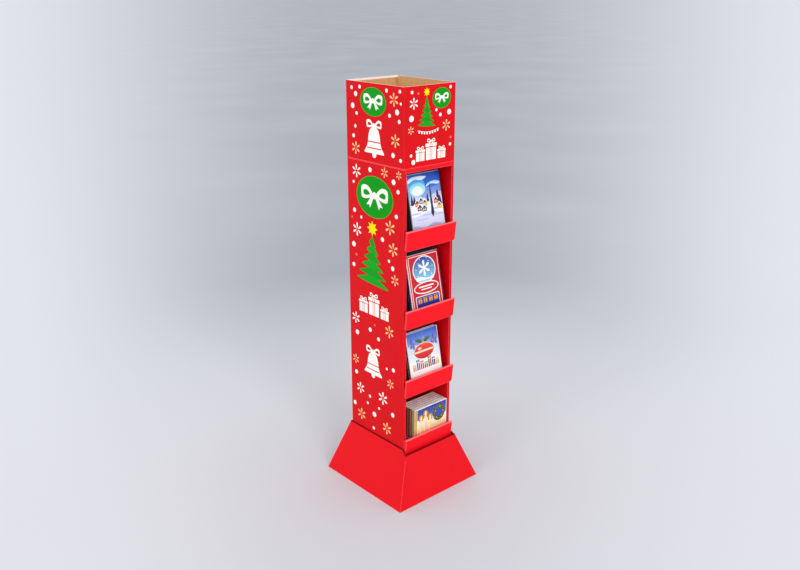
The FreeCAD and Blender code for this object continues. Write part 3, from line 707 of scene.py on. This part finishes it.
def buildFilmCase(nodeName, shell, hem, spineBands, backInk, cover):
    size = filmCase
    low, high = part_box(nodeName)
    lean = math.radians(size["lean"])
    place = Matrix.Translation(((low.x + high.x) / 2, high.y - size["tall"] * mm * math.sin(lean), low.z))
    place = place @ Matrix.Rotation(-lean, 4, "X")
    half, tall, thick, plate = size["width"] / 2, size["tall"], size["thick"], size["plate"]
    solid = bmesh.new()
    layer = solid.verts.layers.float_color.new("ink")
    inner = [(x + (plate if x < 0 else 0), y + (plate if y < -thick / 2 else -plate))
             for x, y in wrapOutline(-plate * 0.02, 0)]
    addPrism(solid, cleanLoop(wrapOutline(0, 0) + inner[::-1]), 0, tall)
    free = [e for e in solid.edges if all(abs(v.co.x - half * mm) < 1e-6 for v in e.verts)
            and abs(e.verts[0].co.z - e.verts[1].co.z) < 1e-6]
    bmesh.ops.bevel(solid, geom=free, offset=size["corner"] * mm, segments=4, affect="EDGES", profile=0.5)
    recess, seam, sink = size["recess"], size["seam"], size["sink"]
    middle = -thick / 2
    for near, far in ((-thick + plate - sink, middle - seam / 2), (middle + seam / 2, -plate + sink)):
        addBlock(solid, (-half + plate + 0.3, near, recess), (half - recess, far, tall - recess))
    addBlock(solid, (-half + plate + 1, middle - 1, recess + 1),
        (half - recess - 1, middle + 1, tall - recess - 1))
    for height in size["clips"]:
        addBlock(solid, (half - recess - 0.5, middle - 3, tall * height - 6),
            (half - recess + 0.7, middle + 3, tall * height + 6))
    # printed wrap under the clear sleeve, then the sleeve's welded hems
    edge = size["paperEdge"]
    for lift, bottom, top, index in ((size["paperLift"], edge, tall - edge, 1),
            (size["paperLift"] * 0.5, edge - size["hem"], edge, 2),
            (size["paperLift"] * 0.5, tall - edge, tall - edge + size["hem"], 2)):
        line = wrapOutline(lift, edge if index == 1 else size["hemEnd"])
        for (x1, y1), (x2, y2) in zip(line, line[1:]):
            ink = spineBands[0][1]
            if y1 < -thick and y2 < -thick + 0.5:
                ink = "#FFFFFF"
            if y1 > -0.5 and y2 > 0:
                ink = backInk
            corners = [solid.verts.new(Vector(c) * mm)
                       for c in ((x1, y1, bottom), (x2, y2, bottom), (x2, y2, top), (x1, y1, top))]
            for corner in corners:
                corner[layer] = linearColour(ink)
            face = solid.faces.new(corners)
            face.material_index = index
    # coloured bands along the spine, from the cover backwards
    spinePlace = Matrix.Translation(Vector((-half - size["paperLift"], 0, 0)) * mm) @ towardLeft
    behind = size["spineRadius"]
    for start, ink in spineBands:
        ahead = thick - behind - start
        band = [(ahead, edge), (ahead, tall - edge), (behind, tall - edge), (behind, edge)]
        addShape(solid, layer, band, ink, spinePlace, 0.02 + 0.01 * start, 1)
    # the cover's art, drawn from the front's lower left corner
    coverPlace = Matrix.Translation(Vector((-half, -thick - size["paperLift"], 0)) * mm) @ towardFront
    for level, (outline, ink) in enumerate(cover):
        trimmed = trimTo(outline, coverLeft, coverRight, coverFoot, coverTop)
        addShape(solid, layer, trimmed, ink, coverPlace, 0.012 * (level + 1), 1)
    finishCase(nodeName, solid, (0,), place, "film_case", (shell, sleevePaper, hem))


def cleanLoop(points, least=0.02):
    # drops points that lie on top of their neighbour
    kept = []
    for point in points:
        if not kept or math.dist(point, kept[-1]) > least:
            kept.append(point)
    while math.dist(kept[0], kept[-1]) <= least:
        kept.pop()
    return kept


def trimTo(outline, left, right, foot, top):
    # keeps a shape inside the sheet that it is printed on
    return cleanLoop([(min(max(u, left), right), min(max(v, foot), top)) for u, v in outline])


def hills(foot, middle, rise, waves, phase, left=coverLeft, right=coverRight):
    steps = 24
    top = [(left + (right - left) * i / steps,
            middle + rise * math.sin(phase + 2 * math.pi * waves * i / steps)) for i in range(steps + 1)]
    return [(left, foot), (right, foot)] + list(reversed(top))


def fir(u, foot, tall, width):
    outline = [(u - width * 0.06, foot)]
    for side in (-1, 1):
        steps = ((0.5, 0.12), (0.28, 0.38), (0.4, 0.36), (0.2, 0.66), (0.3, 0.64))
        ring = [(u + side * width * x, foot + tall * y) for x, y in steps]
        if side < 0:
            outline += ring + [(u, foot + tall)]
        else:
            outline += list(reversed(ring)) + [(u + width * 0.06, foot)]
    return outline


def valleyCover():
    # a snowy village by day: sky, low sun, white hills, firs and coloured cabins
    art = [(coverField, ("#D8F2FF", "#0A4CC8")),
           (oval(96, 168, 46, 26), ("#1E74E0", "#0A3CB4")), (oval(30, 150, 40, 30), ("#5CC8F0", "#2E9CE8")),
           (oval(38, 142, 32, 20), ("#C8F4FA", "#7CD4F4")), (oval(36, 138, 21, 14), ("#FBFFE6", "#DDF8F0")),
           (smoothLoop([(4, 164), (30, 172), (58, 168), (78, 176), (56, 180), (24, 180), (6, 174)]),
            ("#FFFFFF", "#BFE4FA")),
           (smoothLoop([(74, 146), (96, 152), (122, 148), (131, 154), (110, 160), (84, 156)]),
            ("#F4FAFF", "#9CCBF6")),
           (hills(60, 118, 7, 1.3, 0.4), ("#FFFFFF", "#C3C6F0")),
           (hills(40, 104, 6, 0.9, 2.2), ("#FFFFFF", "#E8ECFF")),
           (hills(coverFoot, 66, 5, 1.1, 4.0), "#D4D8F4"),
           (hills(coverFoot, 30, 4, 1.6, 1.0), "#A9AEDC")]
    for u, v, reach in ((20, 70, 24), (74, 62, 30), (112, 58, 20), (44, 50, 26), (100, 76, 14)):
        art.append((oval(u, v, reach, 2.2), ("#A8B4E6", "#C6CEF4")))
    for u, foot, tall, width in ((88, 52, 108, 13), (116, 88, 46, 20), (124, 84, 30, 16), (10, 96, 30, 15),
            (20, 100, 24, 12), (74, 100, 26, 12), (102, 92, 22, 11)):
        art.append((fir(u, foot, tall, width), ("#101C38", "#1F3C68")))
    for u, foot, wide, wall in ((30, 92, 17, "#C4523E"), (46, 98, 15, "#5A78C0"), (60, 90, 18, "#E0A040"),
            (38, 78, 20, "#8C3A5E"), (56, 74, 19, "#2E8A8E"), (106, 92, 16, "#D8503A"),
            (118, 74, 18, "#E8B050")):
        art += [(block(u, foot + 5, wide, 12), wall),
                (block(u - wide * 0.2, foot + 5, wide * 0.18, 5), "#FFE9A8"),
                (block(u + wide * 0.2, foot + 5, wide * 0.18, 5), "#FFE9A8"),
                ([(u - wide * 0.62, foot + 11), (u + wide * 0.62, foot + 11), (u, foot + 22)], "#F6F8FF"),
                ([(u - wide * 0.4, foot + 11), (u + wide * 0.4, foot + 11), (u, foot + 18)], "#28304E")]
    return art


def frameCover():
    # red ground with cream lines, a round window on a blue night, and an empty plaque
    middle = filmCase["width"] / 2
    art = [(coverField, ("#B40A20", "#D01430")),
           (block(middle, 95, 122, 177, 4), "#FBE6D0"), (block(middle, 95, 117, 172, 3), ("#B80C24", "#CC1230")),
           (oval(middle, 136, 48, 44), "#FFF8F4"), (oval(middle, 136, 44.5, 40.5), ("#8FD8F8", "#17309C")),
           (hills(104, 112, 4, 1.0, 0.5, 31, 104), "#FFFFFF"),
           (oval(middle, 80, 52, 19), "#FFF4EC"), (oval(middle, 80, 48.5, 15.5), "#CE0F2C"),
           (block(middle, 84, 62, 4.6, 2.2), "#FFF4EC"), (block(middle, 75.5, 44, 3.6, 1.7), "#FFF4EC")]
    petal = ((-1.4, 0), (1.4, 0), (4.6, 20), (0, 27), (-4.6, 20))
    for i in range(6):
        c, s = math.cos(math.radians(60 * i)), math.sin(math.radians(60 * i))
        art.append(([(middle + x * c - y * s, 141 + x * s + y * c) for x, y in petal], "#FFFFFF"))
    for u, v in ((46, 158), (88, 160), (40, 120), (96, 118), (54, 170), (82, 172), (34, 140), (102, 142)):
        art.append((oval(u, v, 1.7, 1.7, 12), "#FFFFFF"))
    art += [(block(middle, 34, 100, 46, 5), "#FFF0E4"), (block(middle, 34, 95, 41, 4), ("#101C70", "#2448B4"))]
    for u in (34, 56, 79, 101):
        art += [(block(u, 42, 15, 16), ("#D9902E", "#F0C060")), (block(u, 42, 2.6, 16), "#B80C24"),
                (block(u, 47, 15, 2.6), "#B80C24")]
    return art


def baubleCover():
    # a large red glass ball on a thread before a pale winter sky, and a row of parcels
    middle = filmCase["width"] / 2
    art = [(coverField, ("#FFFFFF", "#1C62D4")), (hills(60, 140, 9, 1.0, 0.8), ("#FFFFFF", "#BFDDF8")),
           (hills(coverFoot, 96, 6, 1.2, 3.0), "#FFFFFF")]
    for u, foot, tall in ((18, 138, 34), (28, 132, 24), (112, 134, 36), (123, 130, 24), (104, 128, 20)):
        art.append((fir(u, foot, tall, tall * 0.46), ("#7C86C8", "#3A4C9C")))
    for i in range(18):
        art.append((oval(12 + 6.6 * i, 152 + 14 * math.sin(2.9 * i), 1.3, 1.3, 10),
            ("#FFFFFF", "#C05A9C", "#7A5AC0")[i % 3]))
    art += [(block(middle, 170, 1.2, 36), "#B08A3A"), (oval(middle, 121, 45, 27), "#FBDAD4"),
            (oval(middle, 121, 42, 24.5), ("#C4141F", "#F04A44")), (block(middle, 148, 14, 8, 2), "#E0BC5C"),
            (block(middle, 121, 80, 6), "#F7E3B0"), (oval(50, 131, 8, 4), "#FFD9D4")]
    for side in (-1, 1):
        leaf = ((3, 152), (16, 163), (34, 162), (24, 154), (12, 149))
        art.append((smoothLoop([(middle + side * x, v) for x, v in leaf]), ("#1C5A2E", "#3C8A48")))
    for i, ink in enumerate(("#D9902E", "#3554B8", "#C4283A", "#2E7A4A", "#8B4A2E", "#2B3A8C", "#E0B040")):
        u, tall = 19 + i * 16.5, 20 + 7 * ((i * 2) % 3)
        art += [(block(u, 64 + tall / 2, 13, tall), ink), (block(u, 64 + tall / 2, 2.4, tall), "#FFF3DC"),
                (block(u, 64 + tall * 0.75, 13, 2.2), "#FFF3DC")]
    return art


plainCover = [(coverField, ("#20242C", "#3A4250")), (block(filmCase["width"] / 2, 120, 96, 60), "#5A6476"),
    (block(filmCase["width"] / 2, 60, 70, 6), "#8C95A6")]
rows = {
    1: dict(shell=blackCase, spine=((0, "#8FA3A8"), (1.6, "#2B333C"), (6.5, "#15181D")), back="#27303C",
            cover=valleyCover(), behind=(blackCase, blackCase), behindSpines=("#1C2128", "#22303A")),
    2: dict(shell=navyCase, spine=((0, "#F4F0FA"), (1.5, "#141C4C"), (5.5, "#24429C"), (8, "#0A1136")),
            back="#A80D22", cover=frameCover(), behind=(navyCase, navyCase),
            behindSpines=("#101C58", "#0B1238")),
    3: dict(shell=whiteCase, spine=((0, "#FFFFFF"), (1.5, "#24262C"), (6.5, "#C9CACE"), (8.2, "#5A5C62")),
            back="#2C6FD6", cover=baubleCover(), behind=(blackCase, blackCase),
            behindSpines=("#1A1B1F", "#17191D")),
}
for row, kind in rows.items():
    buildFilmCase(f"film_case_{row}_front", kind["shell"], sleeveHem, kind["spine"], kind["back"],
        kind["cover"])
    for place, shell, spine in zip(("middle", "back"), kind["behind"], kind["behindSpines"]):
        buildFilmCase(f"film_case_{row}_{place}", shell, darkHem, ((0, spine),), "#2A2F38", plainCover)
print("film cases built")

musicCase = dict(plate=1.1, rim=1.4, sink=0.05, lidShare=0.8, spineStep=11, bookletEdge=2.2, labelInk="#E9E4D8",
                 hingeInk="#C89A1C", spineInks=("#E0BC14", "#B87C12", "#A00822", "#48184A", "#56060E", "#141014"))


def candleCover(left, right, foot, top):
    # night sky over snow, three candles and a green ring with berries
    art = [([(left, foot), (right, foot), (right, top), (left, top)], ("#8FA6E8", "#0C2A96")),
           (hills(foot, foot + 80, 4, 0.8, 0.6, left, right), ("#F0A848", "#F4ECF4")),
           (hills(foot, foot + 58, 4, 1.3, 2.0, left, right), ("#C07A2C", "#F8E2B4"))]
    flame = ((-3, 5), (0, 17), (3, 5), (0, 1))
    for u, tall in ((28, 78), (48, 90), (68, 72)):
        art += [(oval(u, foot + 8 + tall, 11, 13), "#C07A34"), (oval(u, foot + 9 + tall, 6.5, 9), "#F0B04A"),
                (block(u, foot + tall / 2, 11, tall), ("#E08A3C", "#FBE0A8")),
                (block(u - 3.2, foot + tall / 2, 2.2, tall), "#FFF4D8"),
                (smoothLoop([(u + x, foot + tall + y) for x, y in flame]), "#FFF8C8")]
    ringU, ringV, berries = 108, foot + 84, 14
    art += [(oval(ringU, ringV, 27, 29), ("#1C4424", "#4A5E2C")), (oval(ringU, ringV, 14, 15), "#2C4CB4")]
    for i in range(berries):
        angle = 2 * math.pi * i / berries
        reach = 1 + 0.1 * (i % 3)
        u, v = ringU + 18.5 * reach * math.cos(angle), ringV + 20 * reach * math.sin(angle)
        art.append((oval(u, v, 2.4, 2.6, 12), ("#E8B23C", "#E0402E", "#7A8C3A")[i % 3]))
    for i in range(9):
        art.append((oval(16 + 13.5 * i, foot + 112 + 5 * math.sin(2.4 * i), 0.9, 0.9, 8), "#FFFFFF"))
    return art


def buildMusicCase(nodeName, spineInk, cover):
    size = musicCase
    low, high = (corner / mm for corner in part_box(nodeName))
    width, thick, tall = high.x - low.x, high.y - low.y, high.z - low.z
    plate, rim, step, sink = size["plate"], size["rim"], size["spineStep"], size["sink"]
    solid = bmesh.new()
    layer = solid.verts.layers.float_color.new("ink")
    # lid in front with its side rims, tray and back shell behind; the hinge side is stepped
    split = thick * size["lidShare"]
    addBlock(solid, (0, 0, 0), (width, plate, tall))
    addBlock(solid, (0.2, thick - plate, 0.2), (width - 0.2, thick, tall - 0.2), 2)
    for bottom in (0, tall - rim):
        addBlock(solid, (0.6, plate - sink, bottom), (width - 0.3, split, bottom + rim))
        addBlock(solid, (0.4, split + 0.3, bottom + 0.3),
            (width - 0.5, thick - plate + sink, bottom + rim - 0.3), 2)
    addBlock(solid, (width - rim - 0.3, plate - sink, 1.2), (width - 0.3, split, tall - 1.2))
    addBlock(solid, (width - rim - 0.6, split + 0.3, 1.4), (width - 0.6, thick - plate + sink, tall - 1.4), 2)
    addBlock(solid, (0.5, plate + 0.3, 0.8), (1.3, thick - plate + sink, tall - 0.8), 2)
    addBlock(solid, (1.4, plate + 1.2, 1.6), (width - 1.6, thick - plate - 1.2, tall - 1.6), 2)
    # booklet behind the lid and the card's folded spine
    edge = size["bookletEdge"]
    frontPlace = Matrix.Translation(Vector((0, -0.03, 0)) * mm) @ towardFront
    booklet = [(step, edge), (width - edge, edge), (width - edge, tall - edge), (step, tall - edge)]
    addShape(solid, layer, booklet, "#FFFFFF", frontPlace, 0.01, 1)
    hinge = [(1.2, 0.8), (step - 1.2, 0.8), (step - 1.2, tall - 0.8), (1.2, tall - 0.8)]
    addShape(solid, layer, hinge, size["hingeInk"], frontPlace, 0.01, 1)
    for level, (outline, ink) in enumerate(cover):
        trimmed = trimTo(outline, step, width - edge, edge, tall - edge)
        addShape(solid, layer, trimmed, ink, frontPlace, 0.02 + 0.004 * (level + 1), 1)
    spinePlace = Matrix.Translation(Vector((-0.01, 0, 0)) * mm) @ towardLeft
    addShape(solid, layer, block(-thick / 2, tall / 2, thick - 0.8, tall - 1.0), spineInk, spinePlace, 0.02, 1)
    addShape(solid, layer, block(-thick / 2, tall * 0.12, 4.6, 9, 0.8), size["labelInk"], spinePlace, 0.04, 1)
    place = Matrix.Translation(low * mm)
    finishCase(nodeName, solid, (0, 2), place, "music_case", (clearCase, sleevePaper, greyTray))


for number, spine in enumerate(musicCase["spineInks"], 1):
    buildMusicCase(f"music_case_{number}", spine, candleCover(11, 139.8, 2.2, 122.8))
print("music cases built")

# Stage, light and camera
view = dict(place=(-1.7542, -1.9709, 1.5996), down=19.23, turn=41.545, lens=39.21)
studio = dict(near="#CBCDD4", far="#A2A6AF", side="#D8DAE1", cloud="#D2D4DB", wall="#C2C5CC", floorSize=400.0,
              below=0.5 * mm, skyLevel=0.9, softness=26)


def studioFloor():
    # matt floor, pale round the stand and greyer away from it, with soft smoky clouds: the pale pool and the
    # greying away from it are painted light
    material, add, coords = newMaterial("studio floor with painted light falloff")
    position = coords.outputs["Object"]
    away = add("VectorMath", [position], operation="LENGTH")
    # painted light falloff: paler near the stand, darker far from it
    far = add("MapRange", {"Value": away.outputs["Value"], "From Min": 0.7, "From Max": 2.3},
        interpolation_type="SMOOTHSTEP")
    smoke = add("TexNoise", {"Vector": position, "Scale": 0.7, "Detail": 3.0, "Roughness": 0.5})
    cloud = add("MapRange", {"Value": smoke, "From Min": 0.4, "From Max": 0.75, "To Min": 0.0, "To Max": 0.16})
    base = add("Mix", {0: far, 6: linearColour(studio["near"]), 7: linearColour(studio["far"])},
        data_type="RGBA")
    # painted light: the floor gets paler away from the middle strip that runs back behind the stand, along the
    # camera's line of sight
    turn = math.radians(view["turn"])
    along = add("VectorMath", [position, (math.sin(turn), math.cos(turn), 0)], operation="DOT_PRODUCT")
    aside = add("VectorMath", [position, (math.cos(turn), -math.sin(turn), 0)], operation="DOT_PRODUCT")
    spread = add("Math", [along.outputs["Value"], 2.6], operation="ADD")
    reach = add("Math", [spread, 0.4], operation="MAXIMUM")
    wide = add("Math", [aside.outputs["Value"]], operation="ABSOLUTE")
    ratio = add("Math", [wide, reach], operation="DIVIDE")
    paintedSideLight = add("MapRange", {"Value": ratio, "From Min": 0.06, "From Max": 0.5},
        interpolation_type="SMOOTHSTEP")
    paintedLightWash = add("Mix", {0: paintedSideLight, 6: base.outputs[2], 7: linearColour(studio["side"])}, data_type="RGBA")
    mottled = add("Mix", {0: cloud, 6: paintedLightWash.outputs[2], 7: linearColour(studio["cloud"])}, data_type="RGBA")
    shader = add("BsdfPrincipled", {"Base Color": mottled.outputs[2], "Roughness": 0.8,
        "Specular IOR Level": 0.1})
    finishMaterial(material, add, shader)
    half = studio["floorSize"] / 2
    mesh = bpy.data.meshes.new("studio_floor")
    corners = ((-half, -half), (half, -half), (half, half), (-half, half))
    mesh.from_pydata([(x, y, -studio["below"]) for x, y in corners], [], [(0, 1, 2, 3)])
    mesh.materials.append(material)
    floor = bpy.data.objects.new("studio_floor", mesh)
    bpy.context.scene.collection.objects.link(floor)


def addLamp(name, comesFrom, strength):
    # wide soft light that is the same all over the floor
    lamp = bpy.data.lights.new(name, "SUN")
    lamp.angle = math.radians(studio["softness"])
    lamp.energy = strength
    holder = bpy.data.objects.new(name, lamp)
    holder.location = comesFrom
    holder.rotation_euler = Vector(comesFrom).to_track_quat("Z", "Y").to_euler()
    bpy.context.scene.collection.objects.link(holder)


studioFloor()
world = bpy.data.worlds.new("studio")
bpy.context.scene.world = world
world.use_nodes = True
world.node_tree.nodes.clear()
add = partial(addNode, world.node_tree)
ray = add("LightPath")
light = add("Background", {"Color": linearColour("#FFFFFF"), "Strength": studio["skyLevel"]})
wall = add("Background", {"Color": linearColour(studio["wall"]), "Strength": 1.0})
sky = add("MixShader", [ray.outputs["Is Camera Ray"], light, wall])
add("OutputWorld", {"Surface": sky})
addLamp("key", (-1.1, -3.6, 1.9), 1.12)
addLamp("side", (-3.6, -0.3, 1.4), 0.55)

camera = bpy.data.cameras.new("camera")
camera.lens = view["lens"]
camera.sensor_width = 36
holder = bpy.data.objects.new("camera", camera)
holder.location = view["place"]
holder.rotation_euler = (math.radians(90 - view["down"]), 0, math.radians(-view["turn"]))
bpy.context.scene.collection.objects.link(holder)
bpy.context.scene.camera = holder
bpy.context.scene.view_settings.view_transform = "Standard"
print("stage set")
